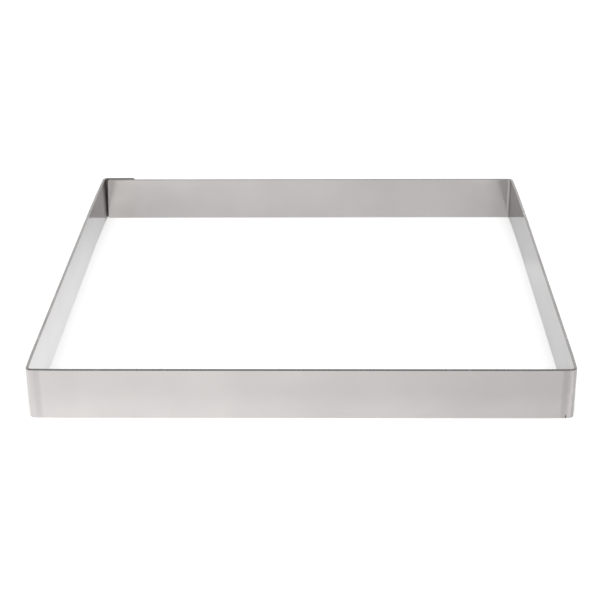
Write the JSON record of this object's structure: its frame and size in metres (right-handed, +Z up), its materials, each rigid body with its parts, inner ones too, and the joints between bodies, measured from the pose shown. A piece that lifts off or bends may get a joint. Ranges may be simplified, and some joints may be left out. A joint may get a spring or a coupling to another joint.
{
  "type": "square tart ring",
  "caption": "Bottomless square ring of bent stainless strip with rounded corners and a spot-welded lap at a back corner, used to shape tarts and pastry on a baking tray.",
  "frame": {"origin": "centre of the square opening, on the plane that the ring stands on", "axes": "+Z up through the opening, +Y towards the back wall that carries the lap, +X towards the wall opposite the lap"},
  "size_m": [0.2024, 0.2046, 0.02],
  "materials": {
    "bright_strip": "bright rolled stainless steel, near mirror, with dull sheared edges",
    "weld_steel": "dull fused stainless steel"
  },
  "bodies": {
    "root": {"ring_strip": "bright_strip", "spot_weld_upper": "weld_steel", "spot_weld_lower": "weld_steel"}
  },
  "joints": []
}
